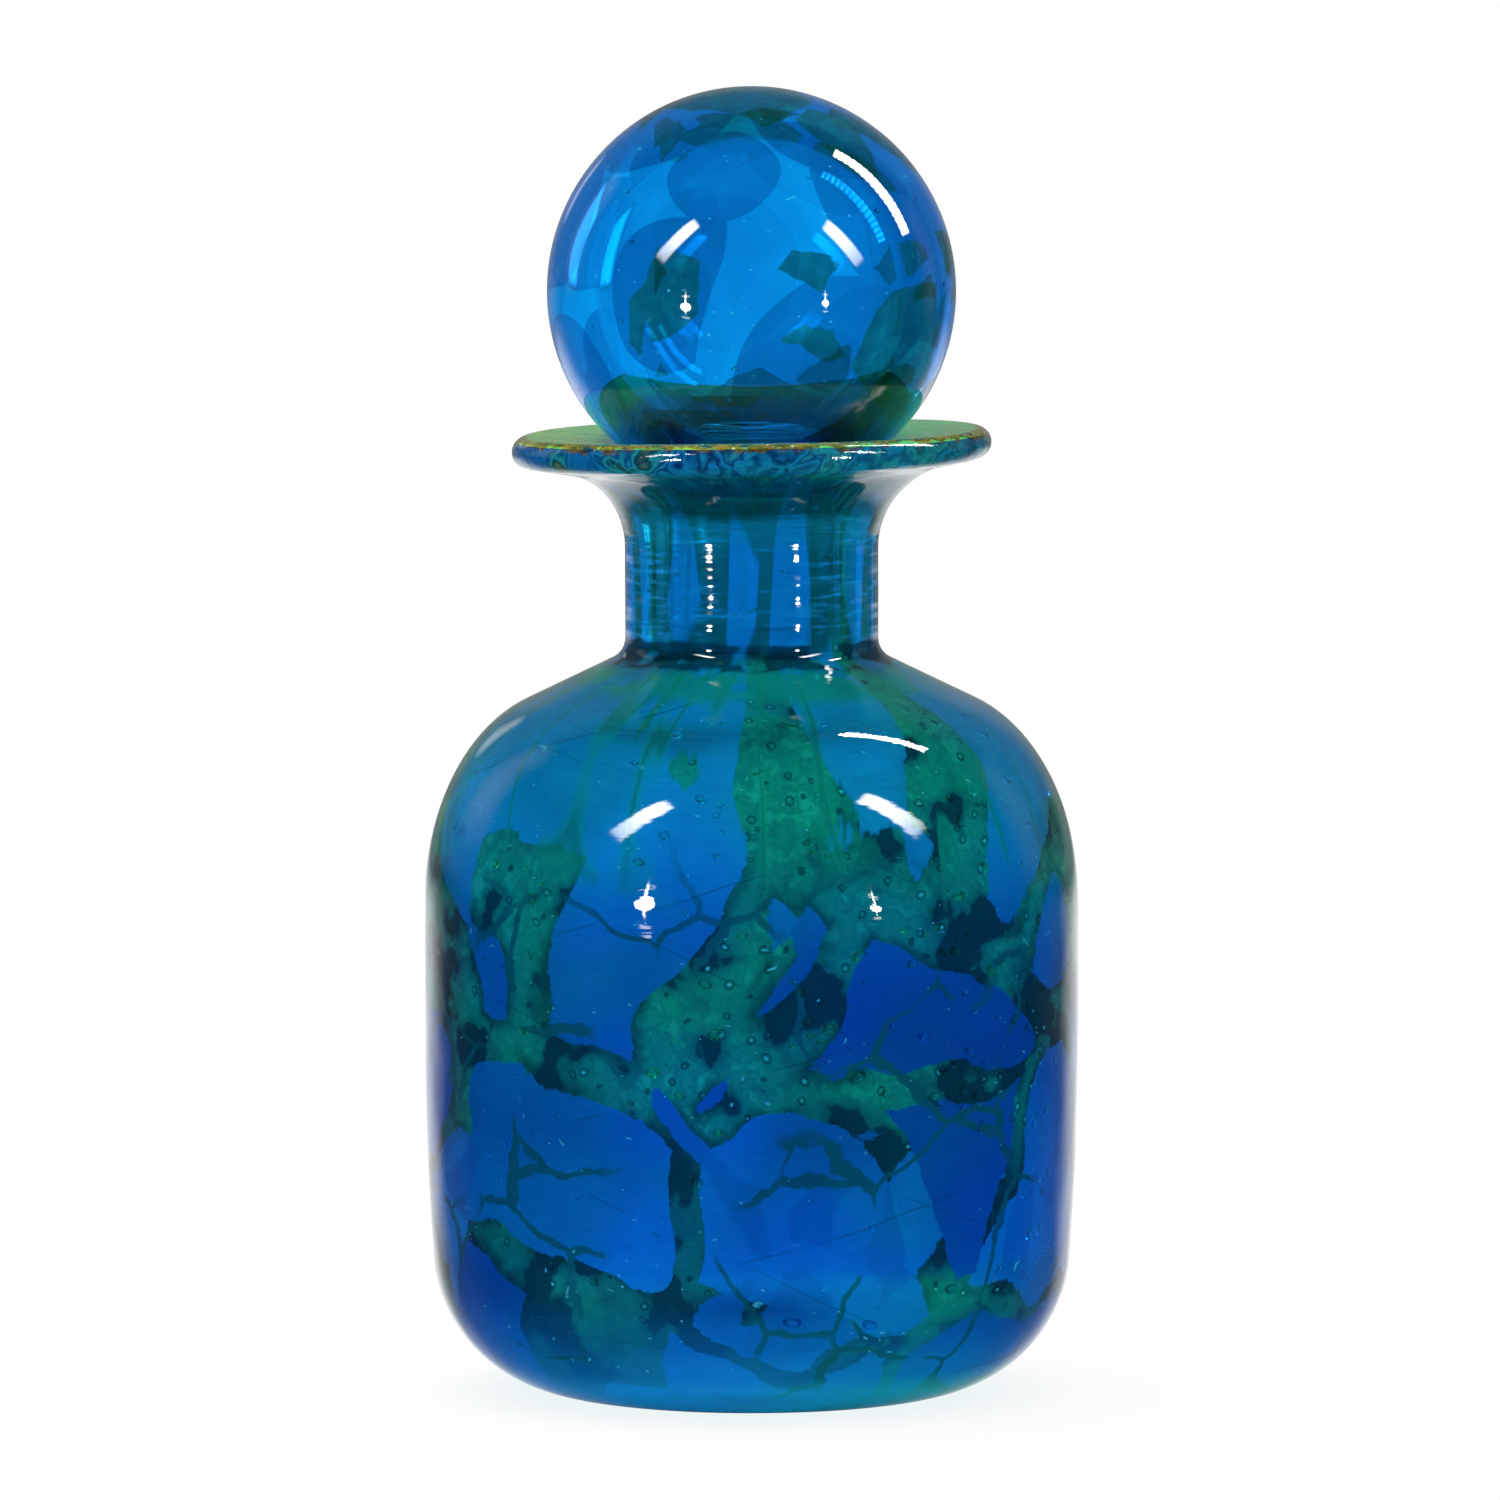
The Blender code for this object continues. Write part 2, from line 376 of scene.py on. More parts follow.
@dataclass(frozen=True)
class Shards:
    """One layer of broken blue glass picked up on the gather."""

    size: float
    gap: float
    gap_play: float
    lost_share: float
    offset: Triple
    deep: Triple
    bright: Triple
    ragged: float = 1.3

    def lay(self, bench: Bench, flow: Socket, spread: Value) -> tuple[Value, Socket, Value]:
        """Lay the shards.

        Args:
            bench: The bench to work on.
            flow: The pattern's coordinates in millimetres.
            spread: How much wider the gaps between them are.

        Returns:
            Their mask, their colour and the shade round them.
        """
        spot = bench.drift(bench.join("ADD", flow, self.offset), 0.035, 16.0)
        spot = bench.drift(bench.drift(spot, 0.13, 2.6), 0.9, self.ragged, 5.0)
        chance = bench.cells(spot, self.size)[1]
        lost = chance[1].fade(1.0 - self.lost_share, 1.01 - self.lost_share) * 90.0
        inside = bench.seam(spot, self.size) - (chance[2] * self.gap_play + self.gap + lost + spread) * 0.5
        return inside.fade(-0.15, 0.15), bench.mix(chance[0], self.deep, self.bright), inside.fade(-2.4, -0.2)


class ShardGlass(Glass):
    """Blue shards in two layers over a mottled green gather, drawn into strips up the neck."""

    first = Shards(27.0, 3.2, 4.0, 0.14, (7.0, 3.0, 11.0), (0.0006, 0.026, 0.3), (0.0018, 0.165, 0.8))
    second = Shards(17.0, 2.2, 3.0, 0.7, (61.0, 17.0, 5.0), (0.0007, 0.052, 0.4), (0.002, 0.19, 0.78))
    upper = (0.004, 0.3, 0.64)
    dark = (0.0003, 0.007, 0.012)
    vein = (0.001, 0.044, 0.046)
    teal = (0.0014, 0.16, 0.084)
    green = (0.003, 0.33, 0.115)
    streak = (0.0012, 0.11, 0.045)
    pale = (0.012, 0.52, 0.2)
    calm_blue = (0.002, 0.2, 0.62)
    foot_blue = (0.003, 0.23, 0.9)
    strip = (0.0026, 0.21, 0.64)
    strip_dark = (0.0014, 0.056, 0.062)
    # Painted highlight: lighter blue for the neck's striations, standing in for lamps caught on its tool lines.
    striation_highlight = (0.03, 0.48, 1.0)
    # Painted shade: a darker teal for the top of the neck under the lip.
    under_lip_shade = (0.004, 0.26, 0.36)

    def gather(self) -> Socket:
        """Paint the mottled gather under the shards, with its dark islands and small bubbles, each bubble with a
        painted glint.

        Returns:
            The colour.
        """
        place, z = self.place, self.parts[2]
        ground = self.ramp(
            self.haze(self.drift(place, 0.3, 2.0, 2.0), 0.42, 4.0), (0.28, self.teal), (0.42, self.green),
            (0.5, self.teal), (0.57, self.green), (0.66, self.pale), (0.78, self.green))
        murk = self.haze(self.drift(place, 0.8, 1.6, 3.0), 0.115, 2.5) - z.fade(54.0, 82.0) * 0.09
        low = z.fade(44.0, 28.0) * (self.haze(place, 0.035, 1.0).fade(0.6, 0.44) * 0.5 + 0.35)
        middle, chance = self.cells(self.drift(place, 0.4, 1.2), 2.4)
        there = chance[0].fade(0.4, 0.42)
        return self.coats(
            ground,
            (self.haze(place, 0.07).fade(0.36, 0.6) * 0.55, self.teal),
            (low, self.vein),
            (murk.fade(0.43, 0.55) * 0.8, self.vein),
            (murk.fade(0.535, 0.565) * 0.95, self.dark),
            (middle.fade(0.29, 0.25) * middle.fade(0.16, 0.2) * there * 0.85, self.dark),
            # A painted glint in the middle of each painted bubble.
            (middle.fade(0.12, 0.06) * there, (0.15, 1.0, 0.9)))

    def body(self) -> Socket:
        """Paint the body.

        Returns:
            The colour.
        """
        place = self.place
        x, y, z, reach = self.parts
        calm = y.fade(-8.0, 12.0)
        pulled_in = z.fade(62.0, 80.0)
        swell = pulled_in * (36.0 / reach - 1.0) + 1.0
        flow = self.combine(x * swell, y * swell, z - pulled_in * (z - 66.0) * 0.72)
        band = z.fade(38.0, 50.0) * z.fade(92.0, 74.0)
        spread = band * (self.haze(place, 0.04, 1.0).fade(0.36, 0.58) * 7.0 + 0.6) - calm * 1.7
        spread = spread - abs(x).fade(24.0, 38.0) * 2.8 - z.fade(18.0, 8.0) * 2.6
        under, under_tone, rim = self.second.lay(self, flow, spread)
        over, over_tone, over_rim = self.first.lay(self, flow, spread)
        both = under.bigger(over)
        murk = self.haze(self.drift(place, 0.8, 1.6, 3.0), 0.1)
        shade = rim.bigger(over_rim) * murk.fade(0.4, 0.56) * z.fade(84.0, 60.0) * (1.0 - calm * 0.7)
        drum = self.drift(self.unrolled(30.0, z * 0.16), 0.16, 3.0, 2.0)
        pull = abs(self.haze(drum, 0.105, 1.0) - 0.5)
        wide = pull.fade(0.026, 0.008) * (z + murk * 20.0).fade(74.0, 82.0) * (1.0 - calm * 0.6)
        deep = self.first.deep
        paint = self.coats(
            self.gather(),
            (calm * 0.38, self.calm_blue),
            (shade * 0.85, self.dark),
            (under, under_tone),
            (over, over_tone),
            (under * over * 0.4, deep),
            (both * z.fade(50.0, 78.0) * 0.8, self.upper),
            (both * z.fade(27.0, 38.0) * z.fade(68.0, 56.0) * 0.45, deep),
            (both * self.haze(place, 0.09).fade(0.45, 0.75) * 0.35, deep),
            (both * self.haze(self.drawn(0.35, 2.2), 1.0, 4.0).fade(0.42, 0.7) * 0.26, deep),
            ((both * 0.25 + 0.22) * z.fade(16.0, 4.0), self.foot_blue),
            (wide * 0.6, self.green),
            (pull.fade(0.012, 0.003) * wide * 0.6, self.streak),
            (self.cracks(flow) * z.fade(76.0, 60.0) * (0.94 - calm * 0.7), self.vein),
            (self.hair_lines() * 0.6, self.dark))
        # Painted light: the foot's edge is lightened, blue on the left and mint on the right, standing in for light
        # coming through the thick foot.
        glow = self.mix(x.fade(-8.0, 24.0), (0.02, 0.5, 1.0), (0.02, 0.8, 0.55))
        return self.mix(z.fade(6.0, 1.0) * 0.75, self.bubbles_and_glints(paint), glow)

    def neck(self) -> Socket:
        """Paint the neck, where the pattern is drawn into strips.

        Returns:
            The colour.
        """
        y, z = self.parts[1:3]
        turned = self.unrolled(15.75, z * 0.1)
        spot = self.drift(self.drift(turned, 0.08, 3.0), 0.6, 0.5, 2.0)
        chance = self.cells(spot, 6.2)[1]
        inside = self.seam(spot, 6.2) - (chance[2] * 0.8 + 0.5 + chance[1].fade(0.76, 0.77) * 30.0)
        moss = self.mix(self.haze(turned, 0.5, 3.0).fade(0.45, 0.65) * 0.5, self.strip_dark, self.teal)
        return self.coats(
            moss,
            (inside.fade(-0.12, 0.12), self.mix(chance[0] * 0.4, self.strip, self.first.bright)),
            # Lighter horizontal streaks on the neck: fine striations, brightened as painted highlights of the lamps
            # on its tool lines.
            (self.haze(self.drawn(0.16, 1.5), 1.0, 3.0).fade(0.52, 0.68) * 0.42, self.striation_highlight),
            (y.fade(-4.0, 8.0) * 0.55, self.calm_blue))

    def lip(self) -> Socket:
        """Paint the streaks under and round the lip.

        Returns:
            The colour.
        """
        x, _, z, _ = self.parts
        streak = self.haze(self.drift(self.unrolled(24.0, z * 0.9), 0.2, 5.0, 2.0), 0.15, 3.0)
        flung = self.ramp(
            streak, (0.34, (0.001, 0.03, 0.3)), (0.41, (0.012, 0.6, 1.0)), (0.45, (0.001, 0.03, 0.22)),
            (0.5, (0.014, 0.7, 1.0)), (0.53, (0.001, 0.05, 0.3)), (0.58, (0.03, 0.9, 0.8)),
            (0.62, (0.001, 0.06, 0.12)), (0.72, (0.3, 0.95, 0.3)))
        return self.coats(
            flung,
            (x.fade(-10.0, -25.0) * streak.fade(0.6, 0.4) * 0.8, (0.006, 0.42, 1.0)),
            (x.fade(-2.0, 26.0) * 0.4, (0.014, 0.62, 0.5)))

    def colour(self) -> Socket:
        """Paint the whole outside.

        Returns:
            The colour.
        """
        _, _, z, reach = self.parts
        broken = self.haze(self.place, 0.13)
        foot = z + broken * 2.4
        return self.gilt(self.coats(
            self.body(),
            ((z + self.haze(self.place, 0.16) * 8.0).fade(96.0, 98.5), self.neck()),
            # Painted shade: a dark band in the crease where the neck meets the shoulder.
            (foot.fade(92.0, 92.6) * foot.fade(95.8, 95.2) * broken.fade(0.6, 0.52) * 0.98, self.dark),
            (foot.fade(88.6, 90.2) * foot.fade(92.6, 92.0) * broken.fade(0.4, 0.5) * 0.85, self.green),
            # Painted shade: the top of the neck under the lip is muted towards a darker teal.
            (z.fade(104.0, 109.0) * 0.3, self.under_lip_shade),
            (reach.fade(19.0, 23.5) * z.fade(104.0, 108.0), self.lip())))

    def surface(self) -> Socket:
        """The outer surface, turned on the neck, hammered and milky on the lip.

        Returns:
            The shader.
        """
        _, _, z, reach = self.parts
        paint = self.colour()
        neck = z.fade(92.0, 96.0) * z.fade(112.0, 106.0)
        rim = reach.fade(22.0, 27.0)
        rough = self.haze(self.drawn(0.2, 1.3), 1.0).fade(0.4, 0.8) * 0.02 + neck * 0.06
        height = self.haze(self.place, 0.09, 1.0) + self.haze(self.drawn(0.12, 1.1), 1.0) * 0.04
        height = height + self.haze(self.drawn(0.012, 0.24), 1.0) * neck * 3.2
        height = height + self.haze(self.drawn(1.0, 1.5), 0.55, 3.0) * rim * z.fade(112.0, 116.0) * 0.35
        relief = self.bump(height, 0.00026)
        clear = self.glass(Base_Color=paint, Roughness=rough, Normal=relief)
        milk = self.join("MULTIPLY", paint, (0.6, 0.34, 0.52))
        milky = self.glass(Base_Color=milk, Roughness=0.03, Transmission_Weight=0.25, Normal=relief)
        return self.blend(rim * z.fade(114.0, 117.0) * 0.7, clear, milky)


class PatchGlass(Glass):
    """Large smooth patches of darker blue and dark green on the ball's bright blue glass."""

    ground = (0.0016, 0.265, 0.77)
    light = (0.0026, 0.37, 0.96)
    disc = (0.0009, 0.1, 0.42)
    deep = (0.0008, 0.06, 0.27)
    moss = (0.0008, 0.04, 0.034)
    moss_light = (0.002, 0.1, 0.07)

    def __init__(self, name: str, middle: float) -> None:
        """Keep the height of the ball's middle in millimetres."""
        self.middle = middle
        super().__init__(name)

    def colour(self) -> Socket:
        """Paint the ball.

        Returns:
            The colour.
        """
        x, y, z, _ = self.parts
        calm = y.fade(-6.0, 10.0)
        low = z.fade(self.middle - 8.0, self.middle - 18.0)
        paint = self.mix(self.haze(self.place, 0.06, 1.0).fade(0.4, 0.6), self.ground, self.light)
        for shift, size, wide in (((5.0, 9.0, 31.0), 27.0, 0.54), ((41.0, 7.0, 3.0), 19.0, 0.52)):
            middle, chance = self.cells(self.drift(self.shifted(shift), 0.05, 6.0), size)
            share = middle.fade(wide, wide - 0.01) * chance[0].fade(0.26, 0.28)
            paint = self.mix(share * (0.9 - calm * 0.6), paint, self.mix(chance[0], self.deep, self.disc))
        speckle = self.mix(self.haze(self.place, 0.5, 3.0).fade(0.4, 0.65) * 0.6, self.moss, self.moss_light)
        for shift, size, lost in (((11.0, 2.0, 7.0), 16.0, 0.66), ((3.0, 51.0, 23.0), 9.0, 0.76)):
            spot = self.drift(self.drift(self.shifted(shift), 0.07, 6.0), 0.35, 1.0, 2.0)
            pick = self.cells(spot, size)[1][0]
            kept = x.fade(-12.0, -18.0) * 0.3 + calm * 0.12 - low * 0.22 + lost
            share = (self.seam(spot, size) - 0.9).fade(-0.1, 0.14) * (pick - kept).fade(0.0, 0.01)
            paint = self.mix(share * 0.93, paint, speckle)
        return self.bubbles_and_glints(self.mix(low * 0.25, paint, self.deep))

    def surface(self) -> Socket:
        """The smooth outer surface, with a faint smear."""
        smear = self.haze(self.drawn(0.2, 1.3), 1.0).fade(0.5, 0.9) * 0.015
        relief = self.bump(self.haze(self.place, 0.09, 1.0), 0.00008)
        return self.glass(Base_Color=self.colour(), Roughness=smear, Normal=relief)


class HollowGlass(Glass):
    """The nearly clear, rippled inside of a blown wall."""

    clear = (0.74, 0.94, 0.97)
    cloudy = (0.56, 0.86, 0.92)
    roughness = 0.26
    ripple = 0.00022

    def surface(self) -> Socket:
        """The inner surface, rougher below the neck.

        Returns:
            The shader.
        """
        streak = self.haze(self.drawn(0.1, 0.35), 1.0, 3.0).fade(0.35, 0.75)
        rough = self.parts[2].fade(100.0, 92.0) * self.roughness + 0.02
        swell = self.haze(self.place, 0.085, 1.0) + self.haze(self.drawn(0.1, 0.6), 1.0) * 0.1
        return self.glass(Base_Color=self.mix(streak, self.clear, self.cloudy), Roughness=rough,
                           Normal=self.bump(swell, self.ripple))


class BallHollowGlass(HollowGlass):
    """The clearer inside of the ball."""

    clear = (0.9, 0.98, 1.0)
    cloudy = (0.8, 0.95, 0.98)
    ripple = 0.00004


class LimeGlass(Glass):
    """The cloudy lime and mint glass of the mouth and the top of the lip."""

    def surface(self) -> Socket:
        """The cloudy surface, clear again down in the funnel.

        Returns:
            The shader.
        """
        x, _, z, reach = self.parts
        flow = self.drift(self.unrolled(26.0, reach * 0.8), 0.12, 6.0, 2.0)
        streak = self.haze(flow, 0.24, 4.0, 0.3)
        lime = self.ramp(
            streak, (0.32, (0.05, 0.6, 0.12)), (0.42, (0.18, 0.86, 0.14)), (0.48, (0.5, 0.95, 0.06)),
            (0.53, (0.08, 0.7, 0.16)), (0.59, (0.3, 0.92, 0.12)), (0.7, (0.05, 0.6, 0.16)))
        # Painted shade: darker teal where the lip turns down into the mouth.
        deep = self.mix(streak.fade(0.4, 0.6), (0.01, 0.28, 0.36), (0.02, 0.42, 0.38))
        top = self.coats(lime, (x.fade(-4.0, 22.0) * 0.7, (0.12, 0.95, 0.28)), (reach.fade(21.0, 17.0) * 0.9, deep))
        cloudy = self.glass(
            Base_Color=self.gilt(top), Roughness=0.05 + streak.fade(0.4, 0.7) * 0.08, Transmission_Weight=0.36,
            Specular_IOR_Level=0.22, Normal=self.bump(self.haze(flow, 0.3), 0.0003))
        clear = self.glass(Base_Color=(0.66, 0.92, 0.95), Roughness=0.02)
        return self.blend((z + self.haze(self.place, 0.16) * 4.0).fade(111.0, 114.5), clear, cloudy)


class SeedGlass(Glass):
    """The clear skin of the air bubbles that blowers call seeds."""

    def surface(self) -> Socket:
        """The clear, faintly uneven surface."""
        share = self.haze(self.place, 1.5, 1.0).fade(0.3, 0.7)
        return self.glass(Base_Color=self.mix(share, (0.92, 0.99, 1.0), (0.75, 0.95, 0.95)))


class GroundGlass(Glass):
    """The frosted stem, ground to sit in the bore."""

    def surface(self) -> Socket:
        """The frosted surface, with the rings of its grinding.

        Returns:
            The shader.
        """
        grit = self.haze(self.place, 3.5, 3.0)
        rings = self.haze(self.drawn(0.06, 2.2), 1.0)
        tint = self.ramp(
            self.haze(self.drawn(0.16, 0.03), 1.0), (0.34, (0.55, 0.86, 0.84)), (0.48, (0.62, 0.9, 0.98)),
            (0.56, (0.66, 0.92, 1.0)), (0.68, (0.52, 0.86, 0.8)))
        rough = 0.1 + grit.fade(0.3, 0.7) * 0.08 + rings.fade(0.4, 0.7) * 0.05
        return self.glass(Base_Color=tint, Roughness=rough, Normal=self.bump(rings + grit * 0.15, 0.00012))


class ScarGlass(Glass):
    """The matt scar under the foot."""

    def surface(self) -> Socket:
        """The gritty surface."""
        grit = self.haze(self.place, 1.4, 4.0)
        return self.glass(Base_Color=self.mix(grit.fade(0.35, 0.7), (0.01, 0.14, 0.22), (0.04, 0.36, 0.42)),
                           Roughness=0.25 + grit * 0.25, Normal=self.bump(grit, 0.0004))


# ---- making glass


@dataclass
class Section:
    """A half section, point by point, with the surface that each point lies on."""

    pitch: float
    points: list[Point] = field(default_factory=list)
    regions: list[Region] = field(default_factory=list)

    def add(self, region: Region, points: list[Point]) -> None:
        """Add points, leaving out any that lie on the last one.

        Args:
            region: The surface that they lie on.
            points: The points, in order.
        """
        for x, z in points:
            if self.points and math.dist((x, z), self.points[-1]) < SAME_POINT:
                continue
            self.points.append((max(x, 0.0), z))
            self.regions.append(region)

    def arc(self, centre: Point, radii: Point, start: float, end: float, pitch: float = 0.0) -> list[Point]:
        """Points on an elliptical arc.

        Args:
            centre: Its centre.
            radii: Its half widths along x and z.
            start: The first angle.
            end: The last angle.
            pitch: The step along it, or zero for the section's own.

        Returns:
            The points, both ends included.
        """
        length = abs(end - start) * (radii[0] + radii[1]) / 2
        steps = max(2, math.ceil(length / (pitch or self.pitch)))
        angles = [start + (end - start) * i / steps for i in range(steps + 1)]
        return [(centre[0] + radii[0] * math.cos(a), centre[1] + radii[1] * math.sin(a)) for a in angles]

    def round(self, centre: Point, radius: float, start: float, end: float, pitch: float = 0.0) -> list[Point]:
        """Points on an arc of a circle."""
        return self.arc(centre, (radius, radius), start, end, pitch)

    def line(self, start: Point, end: Point) -> list[Point]:
        """Points on a straight line, both ends included."""
        steps = max(1, math.ceil(math.dist(start, end) / (1.6 * self.pitch)))
        return [(start[0] + (end[0] - start[0]) * i / steps, start[1] + (end[1] - start[1]) * i / steps)
                for i in range(steps + 1)]


def touch(centre: Point, other: Point, reach: float) -> float:
    """The angle at which an arc about one centre meets the lip's own arc, from their reach."""
    across, up = other[0] - centre[0], other[1] - centre[1]
    return math.atan2(up, across) + math.acos(reach / math.hypot(across, up))


def deselect() -> None:
    """Leave edit mode and select nothing."""
    if bpy.context.object and bpy.context.object.mode != "OBJECT":
        bpy.ops.object.mode_set(mode="OBJECT")
    bpy.ops.object.select_all(action="DESELECT")


def take(piece: Piece, *others: Piece) -> None:
    """Select only these pieces, with the first one active.

    Args:
        piece: The one to work on.
        others: The ones that go with it.
    """
    deselect()
    for one in (piece, *others):
        one.select_set(True)
    bpy.context.view_layer.objects.active = piece


def turn_glass(name: str, section: Section, turns: int) -> Piece:
    """Draw a half section by extruding one vertex and spin it about +Z.

    Args:
        name: The piece's name.
        section: The half section, from the axis or closed on itself.
        turns: The number of steps round the axis.

    Returns:
        The closed piece, with a material slot number on every face.
    """
    deselect()
    bpy.ops.mesh.primitive_plane_add(size=MM, location=(0.0, 0.0, 0.0))
    piece = bpy.context.object
    piece.name = piece.data.name = name
    bpy.ops.object.mode_set(mode="EDIT")
    bpy.ops.mesh.select_all(action="SELECT")
    bpy.ops.mesh.merge(type="CENTER")
    last = section.points[0]
    bpy.ops.transform.translate(value=(last[0], 0.0, last[1]))
    for x, z in section.points[1:]:
        bpy.ops.mesh.extrude_region_move(TRANSFORM_OT_translate={"value": (x - last[0], 0.0, z - last[1])})
        last = (x, z)
    bpy.ops.mesh.select_all(action="SELECT")
    bpy.ops.mesh.spin(steps=turns, angle=FULL, center=(0.0, 0.0, 0.0), axis=(0.0, 0.0, 1.0))
    bpy.ops.mesh.select_all(action="SELECT")
    bpy.ops.mesh.remove_doubles(threshold=WELD)
    bpy.ops.mesh.normals_make_consistent(inside=False)
    bpy.ops.object.mode_set(mode="OBJECT")
    tree = KDTree(len(section.points))
    for i, (x, z) in enumerate(section.points):
        tree.insert((x, 0.0, z), i)
    tree.balance()
    for face in piece.data.polygons:
        found = tree.find((face.center.xy.length, 0.0, face.center.z))[1]
        face.material_index = section.regions[found].value
    return piece


def ripple(piece: Piece, depth: float, free: list[int]) -> None:
    """Let the surface wander a little, as blown glass does.

    Args:
        piece: The piece.
        depth: How far the swells go, from crest to trough.
        free: The vertices that may move.
    """
    deselect()
    bpy.context.view_layer.objects.active = piece
    piece.vertex_groups.new(name="free").add(free, 1.0, "REPLACE")
    swell = bpy.data.textures.new(piece.name + "_swell", "CLOUDS")
    swell.noise_scale = SWELL
    swell.noise_depth = 1
    push = piece.modifiers.new("swell", "DISPLACE")
    push.texture, push.texture_coords = swell, "LOCAL"
    push.strength, push.mid_level = depth, 0.5
    push.vertex_group = "free"
    bpy.ops.object.modifier_apply(modifier="swell")
    piece.vertex_groups.clear()


def dress(piece: Piece, angle: float, *finishes: Glass) -> None:
    """Give a piece its materials and smooth shading.

    Args:
        piece: The piece.
        angle: The angle in degrees above which an edge stays sharp.
        finishes: Its finishes, in the order of its slots.
    """
    for finish in finishes:
        piece.data.materials.append(finish.material)
    take(piece)
    bpy.ops.object.shade_smooth_by_angle(angle=math.radians(angle))


def hand_over(piece: Piece, body: str, slot: str, *nodes: str) -> None:
    """Hang a piece on its body in place of its solids, and report it.

    Args:
        piece: The piece.
        body: The body that it rides on.
        slot: The record's material slot; not used.
        nodes: The solids that it stands for.
    """
    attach(piece, body)
    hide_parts(*nodes)
    LOG.info("%s: %d faces on %s, for %s", piece.name, len(piece.data.polygons), body, ", ".join(nodes))


@dataclass
class Seeds:
    """Air bubbles shut in a wall of glass."""

    name: str
    material: Material
    chance: random.Random
    made: list[Piece] = field(default_factory=list)

    def __post_init__(self) -> None:
        """Model one bubble: a round one, drawn out a little and turned inside out."""
        deselect()
        bpy.ops.mesh.primitive_uv_sphere_add(segments=8, ring_count=6, radius=1.0, location=(0.0, 0.0, 0.0))
        self.master = bpy.context.object
        self.master.name = self.name
        bpy.ops.object.mode_set(mode="EDIT")
        bpy.ops.mesh.select_all(action="SELECT")
        bpy.ops.transform.resize(value=(1.12, 0.94, 0.97))
        bpy.ops.mesh.vertices_smooth(factor=0.15)
        bpy.ops.mesh.flip_normals()
        bpy.ops.object.mode_set(mode="OBJECT")
        bpy.ops.object.shade_smooth()
        self.master.data.materials.append(self.material)

    def blow(self, place: Vector, outward: Vector, size: float, length: float) -> None:
        """Set one bubble in the wall.

        Args:
            place: Its centre.
            outward: The way out of the wall.
            size: Its radius.
            length: How much longer it is along the turn.
        """
        seed = self.master.copy()
        seed.data = self.master.data.copy()
        bpy.context.scene.collection.objects.link(seed)
        along = Vector((0.0, 0.0, 1.0)).cross(outward).normalized()
        up = outward.cross(along).normalized()
        turn = Matrix((along, outward, up)).transposed().to_4x4()
        lean = Matrix.Rotation(self.chance.uniform(-0.5, 0.5), 4, "Y")
        drawn_out = Matrix.Diagonal((size * length, size, size, 1.0))
        seed.data.transform(Matrix.Translation(place) @ turn @ lean @ drawn_out)
        self.made.append(seed)

    def shut_in(self, piece: Piece) -> None:
        """Join all the bubbles into the wall that holds them."""
        bpy.data.objects.remove(self.master, do_unlink=True)
        take(piece, *self.made)
        bpy.ops.object.join()


def slope_at(outline: list[Point], height: float) -> tuple[float, Vector]:
    """Look up an outline.

    Args:
        outline: Its points, from the foot upwards.
        height: Where to look.

    Returns:
        The radius and the outward direction there.
    """
    for (x0, z0), (x1, z1) in zip(outline, outline[1:]):
        if z0 <= height < z1:
            return x0 + (x1 - x0) * (height - z0) / (z1 - z0), Vector((z1 - z0, 0.0, x0 - x1)).normalized()
    return outline[-1][0], Vector((1.0, 0.0, 0.0))


